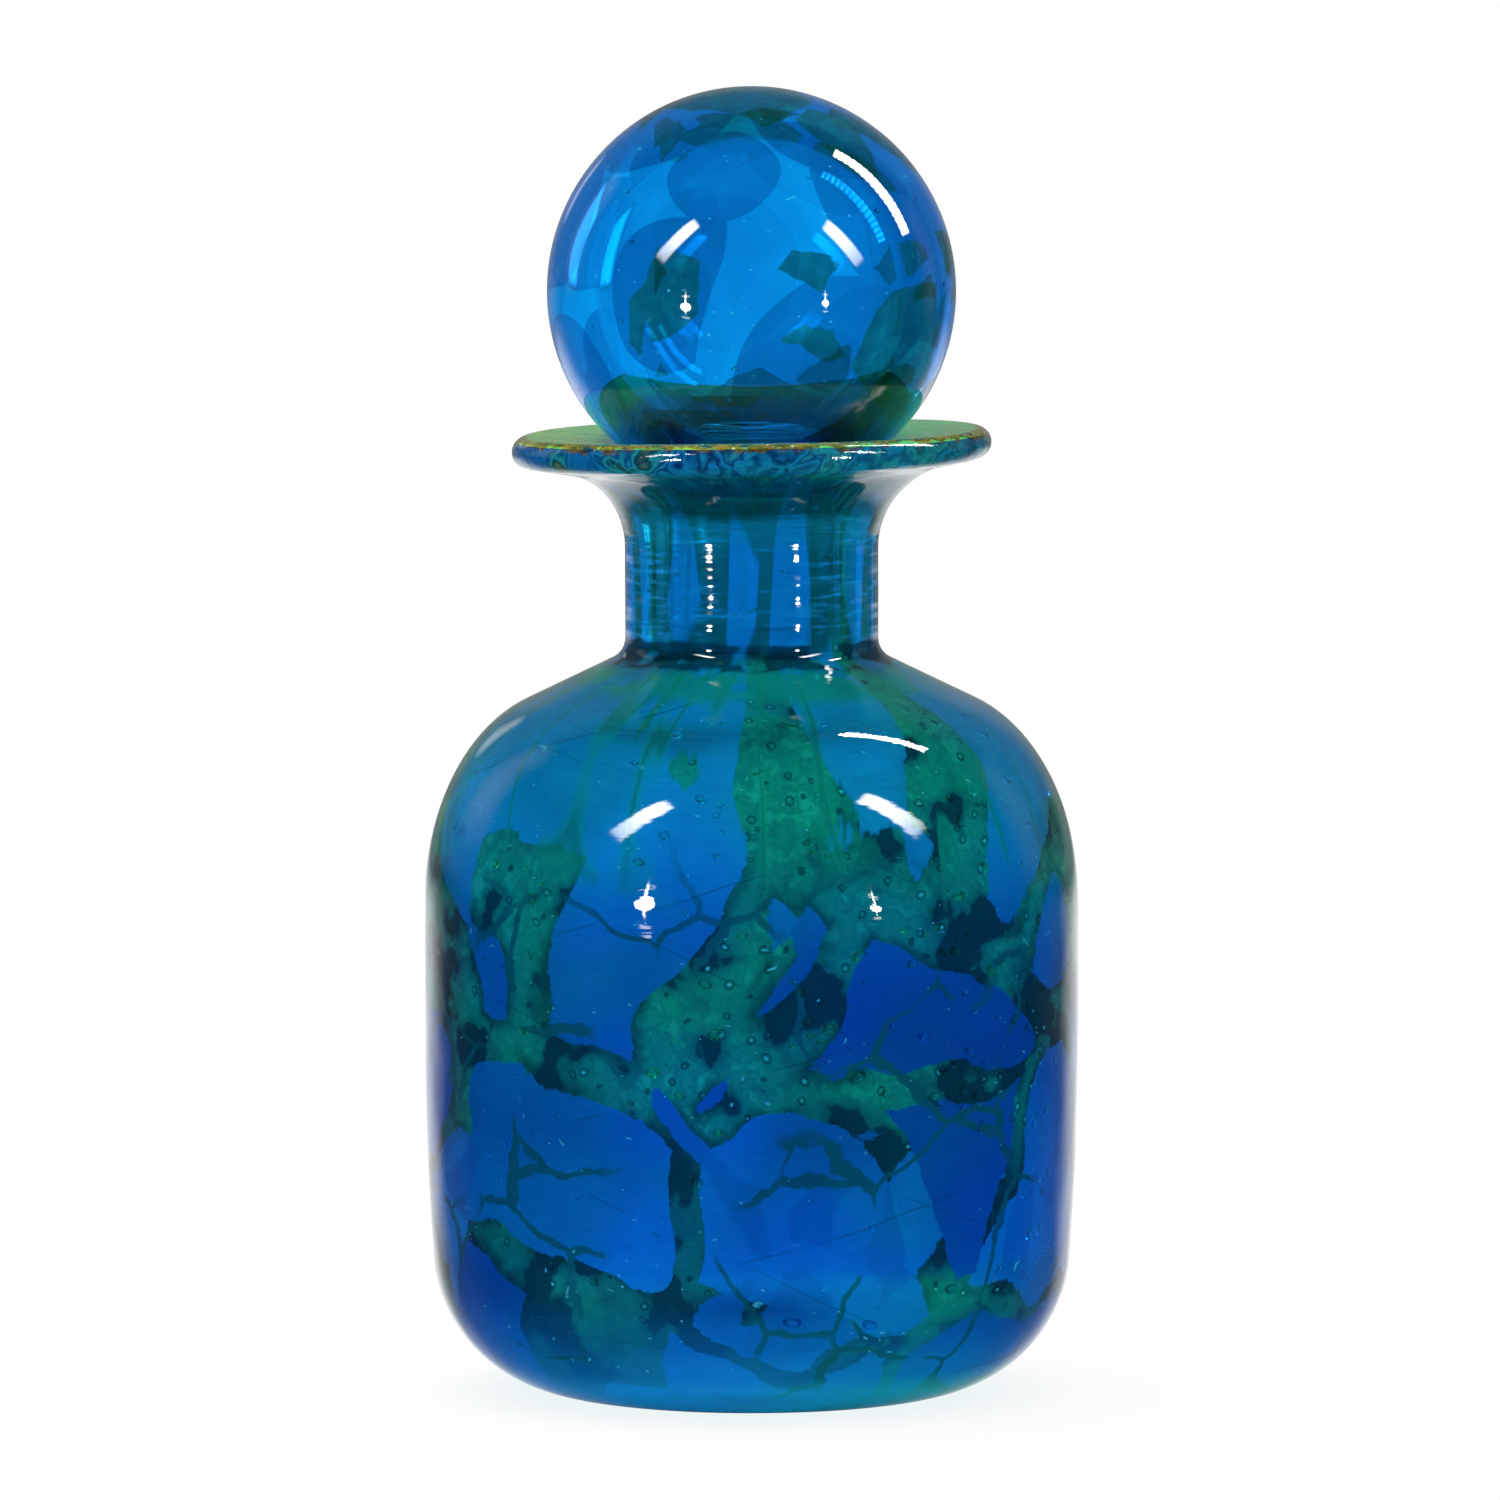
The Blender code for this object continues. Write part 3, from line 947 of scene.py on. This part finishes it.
@dataclass
class Bottle:
    """The blown body with its flared lip, as one wall of glass."""

    body_radius: float = 0.0407
    belly_height: float = 0.043
    flank_length: float = 0.0186
    flank_arc: float = 0.34
    foot_corner: float = 0.0182
    shoulder_width: float = 0.0184
    shoulder_rise: float = 0.0262
    shoulder_sweep: float = math.radians(71.2)
    neck_radius: float = 0.01575
    neck_fillet: float = 0.0028
    neck_length: float = 0.0113
    wall: tuple[float, float, float, float] = (0.0021, 0.0036, 0.005, 0.0055)
    flare_radius: float = 0.01
    lip_thickness: float = 0.0037
    lip_lift: float = 0.0006
    lip_turn: float = 0.75
    mouth_turn: float = 0.12
    rim_radius: float = 0.0298
    funnel_radius: float = 0.012
    dish_drop: float = 0.0006
    kick_radius: float = 0.0095
    kick_slope: float = 0.0014
    kick_depth: float = 0.0012
    lean: float = math.radians(1.15)
    lean_start: float = 0.018
    lean_blend: float = 0.007
    lip_wave: float = 0.00012
    swell_depth: float = 0.00022
    seed_count: int = 560
    cluster_count: int = 16
    fillet_step: float = 0.0006
    flare_step: float = 0.0007
    lip_step: float = 0.0004
    turns: int = 224
    pitch: float = 0.0013
    chance: random.Random = field(default_factory=lambda: random.Random(20))

    def outline(self, section: Section, depths: tuple[float, float, float, float]) -> list[Point]:
        """Draw the body at given depths, from the foot's flat to the neck.

        Args:
            section: The section whose steps are used.
            depths: How deep it lies under the outside at the flank, crown, neck and base.

        Returns:
            The points from the foot upwards.
        """
        flank, crown, neck, base = depths
        radius = self.body_radius - flank
        corner = self.foot_corner - flank
        flank_arc = self.flank_arc - flank
        tuck = math.asin((self.belly_height - base - corner) / (flank_arc - corner))
        corner_x = radius - flank_arc + (flank_arc - corner) * math.cos(tuck)
        points = section.round((corner_x, base + corner), corner, -QUARTER, -tuck)
        points += section.round((radius - flank_arc, self.belly_height), flank_arc, -tuck, 0.0)[1:]
        top = self.belly_height + self.flank_length
        points += section.line(points[-1], (radius, top))[1:]
        width = self.shoulder_width - flank
        rise = self.shoulder_rise - crown
        points += section.arc((radius - width, top), (width, rise), 0.0, self.shoulder_sweep)[1:]
        slope = rise / (width * math.tan(self.shoulder_sweep))
        tilt = QUARTER - math.atan(slope)
        fillet = self.neck_fillet + neck
        fillet_x = self.neck_radius - neck + fillet
        touch_x = fillet_x - fillet * math.cos(tilt)
        touch_z = points[-1][1] + (points[-1][0] - touch_x) * slope
        points += section.line(points[-1], (touch_x, touch_z))[1:]
        fillet_centre = (fillet_x, touch_z + fillet * math.sin(tilt))
        return points + section.round(fillet_centre, fillet, HALF + tilt, HALF, self.fillet_step)[1:]

    def section(self) -> Section:
        """Draw the whole wall: up the outside, over the lip and down the inside.

        Returns:
            The half section.
        """
        made = Section(self.pitch)
        outside = self.outline(made, (0.0, 0.0, 0.0, 0.0))
        inside = self.outline(made, self.wall)
        flare_height = outside[-1][1] + self.neck_length
        half_lip = self.lip_thickness / 2
        lip_height = flare_height + self.flare_radius + self.lip_lift + half_lip
        funnel_height = lip_height + half_lip - self.dish_drop - self.funnel_radius
        bore = self.neck_radius - self.wall[2]
        flare = (self.neck_radius + self.flare_radius, flare_height)
        lip = (self.rim_radius - half_lip, lip_height)
        funnel = (bore + self.funnel_radius, funnel_height)
        under = touch(flare, lip, self.flare_radius + half_lip)
        over = touch(funnel, lip, self.funnel_radius - half_lip)
        mouth_end = HALF - self.mouth_turn
        kick = (self.kick_radius - self.kick_slope, self.kick_depth)
        for region, points in (
            (Region.SKIN, made.line((0.0, self.kick_depth), kick)),
            (Region.SKIN, made.line((self.kick_radius, 0.0), outside[0])),
            (Region.SKIN, outside),
            (Region.SKIN, made.line(outside[-1], (self.neck_radius, flare_height))),
            (Region.SKIN, made.round(flare, self.flare_radius, HALF, under, self.flare_step)),
            (Region.SKIN, made.round(lip, half_lip, under - HALF, self.lip_turn, self.lip_step)),
            (Region.MOUTH, made.round(lip, half_lip, self.lip_turn, over, self.lip_step)),
            (Region.MOUTH, made.round(funnel, self.funnel_radius, over, mouth_end, self.flare_step)),
            (Region.HOLLOW, made.round(funnel, self.funnel_radius, mouth_end, HALF, self.flare_step)),
            (Region.HOLLOW, made.line((bore, funnel_height), inside[-1])),
            (Region.HOLLOW, inside[::-1]),
            (Region.HOLLOW, made.line(inside[0], (0.0, self.wall[3]))),
        ):
            made.add(region, points)
        return made

    def tip_lip(self, piece: Piece) -> None:
        """Tip the flat of the lip a little, up on its right, as the hand left it.

        Args:
            piece: The bottle.
        """
        for vertex in piece.data.vertices:
            reach = vertex.co.xy.length
            if vertex.co.z > 0.105 and reach > self.lean_start:
                share = min(1.0, (reach - self.lean_start) / self.lean_blend)
                share = share * share * (3 - 2 * share)
                wave = self.lip_wave * math.sin(3 * math.atan2(vertex.co.y, vertex.co.x) + 0.6)
                vertex.co.z += share * (vertex.co.x * math.tan(self.lean) + wave)

    def seeds(self, material: Material) -> Seeds:
        """Scatter bubbles through the wall, the neck and the lip.

        Args:
            material: The bubbles' glass.

        Returns:
            The bubbles, not yet joined to the wall.
        """
        made = Seeds("seed", material, self.chance)
        draw = self.chance.uniform
        outline = self.outline(Section(self.pitch), (0.0, 0.0, 0.0, 0.0))
        clusters = [(draw(0, FULL), draw(0.02, 0.082)) for _ in range(self.cluster_count)]
        for count in range(self.seed_count):
            if count % 4:
                turn, height = self.chance.choice(clusters)
                turn += self.chance.gauss(0, 0.28)
                height += self.chance.gauss(0, 0.009)
            else:
                turn, height = draw(0, FULL), draw(0.012, 0.086)
            height = min(max(height, 0.01), 0.086)
            radius, outward = slope_at(outline, height)
            outward = Matrix.Rotation(turn, 3, "Z") @ outward
            size = 0.00026 + 0.0005 * self.chance.random() ** 1.8
            place = Vector((radius * math.cos(turn), radius * math.sin(turn), height))
            depth = draw(size + 0.0002, self.wall[0] - size - 0.0002)
            made.blow(place - outward * depth, outward, size, draw(1.0, 1.5))
        for count, sizes, reaches, heights, lengths, lean in (
            (46, (0.00012, 0.0003), (0.01515, 0.01175), (0.095, 0.107), (1.4, 2.6), 0.0),
            (60, (0.00012, 0.00034), (0.0268, 0.0288), (0.11725, 0.11865), (1.5, 3.0), self.lean),
        ):
            for _ in range(count):
                turn = draw(0, FULL)
                outward = Vector((math.cos(turn), math.sin(turn), 0.0))
                size = draw(*sizes)
                place = outward * draw(*reaches)
                place.z = place.x * math.tan(lean) + draw(*heights)
                made.blow(place, outward, size, draw(*lengths))
        return made

    def build(self) -> None:
        """Blow, tip, dress and finish the bottle."""
        piece = turn_glass("bottle_glass", self.section(), self.turns)
        free = [v.index for v in piece.data.vertices if 0.012 < v.co.z < 0.1 and v.co.xy.length > 0.009]
        ripple(piece, self.swell_depth, free)
        self.tip_lip(piece)
        dress(piece, 38, ShardGlass("bottle_shard_glass"), HollowGlass("bottle_hollow_glass"),
              LimeGlass("lip_lime_glass"), SeedGlass("seed_glass"))
        self.seeds(piece.data.materials[3]).shut_in(piece)
        hand_over(piece, "bottle", "blue_glass", "vessel_casing", "vessel_lining", "flared_lip")


@dataclass
class Stopper:
    """The hollow ball on its ground stem, as one wall of glass."""

    ball_radius: float = 0.0254
    hollow_radius: float = 0.0194
    stem_radius: float = 0.01035
    stem_length: float = 0.019
    stem_wall: float = 0.003
    stem_taper: float = 0.0003
    stem_fillet: float = 0.0008
    end_rounding: float = 0.001
    end_step: float = 0.0003
    swell_depth: float = 0.00008
    turns: int = 176
    pitch: float = 0.0009
    chance: random.Random = field(default_factory=lambda: random.Random(5))

    def __post_init__(self) -> None:
        """Take the ball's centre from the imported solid's box."""
        self.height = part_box("stopper_casing")[1].z - self.ball_radius

    def section(self) -> Section:
        """Draw the whole wall: down the ball and stem outside, and up the bore inside.

        Returns:
            The half section.
        """
        made = Section(self.pitch)
        centre = (0.0, self.height)
        bore = self.stem_radius - self.stem_wall
        outer_end = math.acos((self.stem_radius + self.stem_fillet) / self.ball_radius)
        inner_end = math.acos(bore / self.hollow_radius)
        end = self.end_rounding
        low = self.height - self.ball_radius - self.stem_length + end
        foot = self.stem_radius - self.stem_taper
        made.add(Region.SKIN, made.round(centre, self.ball_radius, QUARTER, -outer_end))
        neck = (self.stem_radius, made.points[-1][1] - self.stem_fillet)
        top = (bore, self.height - math.sqrt(self.hollow_radius ** 2 - bore ** 2))
        for region, points in (
            (Region.GROUND, made.line(neck, (foot, low))),
            (Region.GROUND, made.round((foot - end, low), end, 0.0, -QUARTER, self.end_step)),
            (Region.GROUND, made.round((bore + end, low), end, -QUARTER, -HALF, self.end_step)),
            (Region.HOLLOW, made.line((bore, low), top)),
            (Region.HOLLOW, made.round(centre, self.hollow_radius, -inner_end, QUARTER)),
        ):
            made.add(region, points)
        return made

    def seeds(self, material: Material) -> Seeds:
        """Scatter a few bubbles through the ball's wall.

        Args:
            material: The bubbles' glass.

        Returns:
            The bubbles, not yet joined to the wall.
        """
        made = Seeds("ball_seed", material, self.chance)
        draw = self.chance.uniform
        for _ in range(60):
            turn = draw(0, FULL)
            rise = math.asin(draw(-0.8, 0.98))
            outward = Vector((math.cos(turn) * math.cos(rise), math.sin(turn) * math.cos(rise), math.sin(rise)))
            size = 0.00011 + 0.00025 * self.chance.random() ** 2
            place = Vector((0.0, 0.0, self.height)) + outward * (self.ball_radius - draw(0.0006, 0.001))
            made.blow(place, outward, size, draw(1.0, 1.8))
        return made

    def build(self) -> None:
        """Blow, dress and finish the stopper."""
        piece = turn_glass("stopper_glass", self.section(), self.turns)
        free = [v.index for v in piece.data.vertices if v.co.z > self.height - 0.012 and v.co.xy.length > MM]
        ripple(piece, self.swell_depth, free)
        dress(piece, 50, PatchGlass("stopper_patch_glass", self.height / MM),
              BallHollowGlass("stopper_hollow_glass"), GroundGlass("stem_ground_glass"),
              SeedGlass("ball_seed_glass"))
        self.seeds(piece.data.materials[3]).shut_in(piece)
        hand_over(piece, "stopper", "azure_glass", "stopper_casing", "stopper_lining", "stopper_stem")


@dataclass
class FootScar:
    """The scar that the iron leaves in the hollow under the foot."""

    radius: float = 0.0066
    top: float = 0.0009
    bottom: float = 0.0004
    edge: float = 0.0004
    insets: Triple = (0.0012, 0.0014, 0.0013)
    grit: float = 0.00022
    chance: random.Random = field(default_factory=lambda: random.Random(3))

    def build(self) -> None:
        """Press the scar from a disc and roughen its underside."""
        deselect()
        middle = (self.top + self.bottom) / 2
        bpy.ops.mesh.primitive_cylinder_add(vertices=40, radius=self.radius, depth=self.top - self.bottom,
                                            location=(0.0, 0.0, middle))
        piece = bpy.context.object
        piece.name = "pontil_scar"
        bpy.ops.object.transform_apply(location=True, rotation=True, scale=True)
        bpy.ops.object.mode_set(mode="EDIT")
        bpy.ops.mesh.select_mode(type="FACE")
        bpy.ops.mesh.select_all(action="DESELECT")
        bpy.ops.object.mode_set(mode="OBJECT")
        for face in piece.data.polygons:
            face.select = face.normal.z < -0.9
        bpy.ops.object.mode_set(mode="EDIT")
        for inset in self.insets:
            bpy.ops.mesh.inset(thickness=inset, depth=0.0)
        bpy.ops.mesh.poke()
        bpy.ops.object.mode_set(mode="OBJECT")
        for vertex in piece.data.vertices:
            if vertex.co.z < middle and vertex.co.xy.length < self.radius - 0.0006:
                vertex.co.z += self.chance.uniform(0.0, self.grit)
            elif vertex.co.z > middle:
                vertex.co.xy *= 1.0 - self.edge / self.radius
        dress(piece, 35, ScarGlass("pontil_scar_glass"))
        hand_over(piece, "bottle", "scar_glass", "pontil_mark")


# ---- studio


@dataclass(frozen=True)
class Lamp:
    """A lamp that shows in the glass: a card that glows on one side."""

    name: str
    shine: Shine
    start: Triple
    end: Triple
    width: float
    glow: float
    falloff: float = 0.5
    seen_through: bool = True
    mirrored: bool = True

    def power(self, bench: Bench) -> tuple[Value, Value]:
        """Paint the card's glow.

        Args:
            bench: The bench to work on.

        Returns:
            How solid the card is, and how strongly it glows.
        """
        x, y, _ = bench.split(bench.texture_place())
        wide, tall = abs(x), abs(y)
        if self.shine is Shine.STAR:
            core = ((x * x * 2.0 + y * y * 0.8) ** 0.5).fade(0.16, 0.07)
            across = wide.fade(0.045, 0.0) * tall.fade(0.17, 0.09) * 0.4
            along = tall.fade(0.045, 0.0) * x.fade(-0.24, -0.06) * x.fade(0.5, 0.1)
            frame_edges = abs(wide - 0.24).fade(0.035, 0.012) * tall.fade(0.18, 0.08) * 0.12
            solid = core + (across + along) * 0.3 + frame_edges
        else:
            solid = wide.fade(0.5, 0.5 - 0.5 * self.falloff) * tall.fade(0.5, 0.5 - 0.3 * self.falloff)
        if self.shine is Shine.STRIP:
            solid = solid * (y.fade(-0.55, 0.2) * 0.72 + 0.28)
        power = solid * self.glow
        if self.shine is Shine.TUBE:
            power = power * ((y * 16).swung(0.5).fade(0.12, 0.38) * 0.75 + 0.25)
        return solid, power

    def hang(self) -> None:
        """Hang the card, facing the bottle."""
        start, end = Vector(self.start), Vector(self.end)
        middle = (start + end) / 2
        along = (end - start).normalized()
        across = along.cross(Vector((0.0, 0.0, 0.1)) - middle).normalized()
        turn = Matrix((across, along, across.cross(along).normalized())).transposed().to_4x4()
        deselect()
        bpy.ops.mesh.primitive_grid_add(x_subdivisions=2, y_subdivisions=2, size=1.0, location=(0.0, 0.0, 0.0))
        card = bpy.context.object
        card.name = self.name
        size = Matrix.Diagonal((self.width, (end - start).length, 1.0, 1.0))
        card.matrix_world = Matrix.Translation(middle) @ turn @ size
        bench = Finish(self.name)
        bench.material.cycles.emission_sampling = "NONE"
        solid, power = self.power(bench)
        glow = bench.node("Emission", {}, {"Color": WHITE, "Strength": power}).outputs[0]
        bench.end(bench.blend(solid.fade(0.0, 0.25), bench.node("BsdfTransparent", {}, {}).outputs[0], glow))
        card.data.materials.append(bench.material)
        card.visible_camera = card.visible_diffuse = card.visible_shadow = False
        card.visible_transmission = self.seen_through
        card.visible_glossy = self.mirrored


@dataclass
class Studio:
    """A white room with a pale floor, a few lamps and the camera."""

    target: Triple = (-0.0002, 0.0, 0.0801)
    eye: Triple = (-0.0002, -1.527, 0.207)
    frame_width: float = 0.18675
    bounces: int = 96
    lamps: tuple[Lamp, ...] = (
        Lamp("left_strip", Shine.STRIP, (-0.348, -0.243, 0.242), (-0.248, -0.345, 0.482), 0.074, 30.0),
        Lamp("right_strip", Shine.STRIP, (0.348, -0.16, 0.22), (0.264, -0.233, 0.4), 0.068, 28.0),
        Lamp("thin_tube", Shine.TUBE, (0.096, 0.0095, 0.1715), (0.0546, 0.008, 0.229), 0.0125, 60.0, 0.12),
        Lamp("left_bulb", Shine.STAR, (-0.4, -0.398, 0.083), (-0.2, -0.398, 0.083), 0.2, 170.0, seen_through=False),
        Lamp("right_bulb", Shine.STAR, (0.314, -0.4736, 0.086), (0.514, -0.4736, 0.086), 0.2, 190.0,
             seen_through=False),
        Lamp("left_sheet", Shine.SHEET, (-0.384, 0.235, 0.09), (-0.384, 0.235, 0.5), 0.23, 0.5, 1.0, False),
        Lamp("right_sheet", Shine.SHEET, (0.42, 0.235, 0.02), (0.42, 0.235, 0.42), 0.26, 0.18, 1.0, False),
        Lamp("left_window", Shine.SHEET, (-0.335, 0.62, 0.21), (-0.25, 0.62, 0.365), 0.15, 1.0, 1.0, False),
        Lamp("ball_glow", Shine.SHEET, (-0.265, 0.424, 0.115), (-0.265, 0.424, 0.29), 0.17, 3.6, 0.6, True, False),
    )

    @staticmethod
    def rays(bench: Bench) -> tuple[Value, Value, Value]:
        """Sort the rays that arrive.

        Args:
            bench: The bench of the floor or the room.

        Returns:
            One for a ray seen directly or through glass, for a mirrored one and for a scattered one.
        """
        path = bench.node("LightPath", {}, {})
        camera, spread, reflected, through = (Value(bench, path.outputs[ray.value]) for ray in Ray)
        return camera + through, reflected * (1.0 - spread), spread

    def floor(self) -> None:
        """Lay the pale floor, near white to the eye but with its shadow kept, and with a painted halo of light
        round the foot.
        """
        deselect()
        bpy.ops.mesh.primitive_plane_add(size=60.0, location=(0.0, 0.0, -0.00005))
        floor = bpy.context.object
        floor.name = "floor"
        bench = Finish("pale_floor")
        seen, mirrored, _ = self.rays(bench)
        x, y, _ = bench.split(bench.texture_place())
        reach = (x * x + y * y) ** 0.5
        behind = y + 0.05
        way = behind / ((x * x + behind * behind) ** 0.5)
        aside = way.fade(0.72, 0.93) + way.fade(0.4, 0.8) * 0.1
        level = seen + mirrored * (reach.fade(1.3, 0.45) * 0.8 + 0.2) * aside * y.fade(-0.025, 0.005)
        # Painted light: a faint cyan halo round the foot, standing in for light focused through the glass.
        painted_caustic_halo = bench.mix(reach.fade(0.042, 0.026) * 0.12, WHITE, (0.34, 0.92, 0.96))
        plain = bench.node("BsdfDiffuse", {}, {"Color": (0.92, 0.92, 0.92)}).outputs[0]
        glow = bench.node("Emission", {}, {"Color": painted_caustic_halo, "Strength": level}).outputs[0]
        bench.end(bench.blend(seen * 0.9 + mirrored, plain, glow))
        floor.data.materials.append(bench.material)

    def room(self) -> None:
        """Light the room: white to look at and through, and in reflections dark only in front."""
        world = bpy.data.worlds.new("white_room")
        bpy.context.scene.world = world
        world.use_nodes = True
        bench = Bench(world.node_tree)
        seen, mirrored, spread = self.rays(bench)
        y = bench.split(bench.texture_place("Generated"))[1]
        level = seen + mirrored * (y.fade(0.84, 0.98) * 0.17 + y.fade(0.3, 0.8) * 0.09) + spread * 0.95
        bench.end(bench.node("Background", {}, {"Color": WHITE, "Strength": level}).outputs[0], "OutputWorld")

    def softbox(self) -> None:
        """Hang one wide lamp overhead for the floor's soft shadow."""
        deselect()
        bpy.ops.object.light_add(type="AREA", location=(-0.25, 0.15, 1.1))
        lamp = bpy.context.object
        lamp.data.shape = "DISK"
        lamp.data.size = 0.9
        lamp.data.energy = 5.0
        lamp.visible_glossy = lamp.visible_transmission = False
        lamp.rotation_euler = (-lamp.location).to_track_quat("-Z", "Y").to_euler()

    def camera(self) -> None:
        """Set up the camera where the photograph was taken from."""
        data = bpy.data.cameras.new("camera")
        eye = bpy.data.objects.new("camera", data)
        bpy.context.scene.collection.objects.link(eye)
        away = Vector(self.target) - Vector(self.eye)
        eye.location = self.eye
        eye.rotation_euler = away.to_track_quat("-Z", "Y").to_euler()
        data.sensor_width = 36.0
        data.lens = 36.0 * away.length / self.frame_width
        data.clip_start, data.clip_end = 0.05, 20.0
        bpy.context.scene.camera = eye

    def build(self) -> None:
        """Set up the whole studio."""
        scene = bpy.context.scene
        scene.view_settings.view_transform = "Standard"
        scene.cycles.max_bounces = self.bounces
        scene.cycles.transmission_bounces = self.bounces
        scene.cycles.glossy_bounces = self.bounces
        self.floor()
        self.room()
        for lamp in self.lamps:
            lamp.hang()
        self.softbox()
        self.camera()
        LOG.info("studio: floor, room, %d lamps in the glass and one overhead", len(self.lamps))


def main() -> None:
    """Build the bottle, its stopper, the scar and the studio in order."""
    logging.basicConfig(level=logging.INFO, format="%(name)s %(message)s")
    for part in (Bottle(), Stopper(), FootScar(), Studio()):
        part.build()
    deselect()


if __name__ == "__main__":
    main()
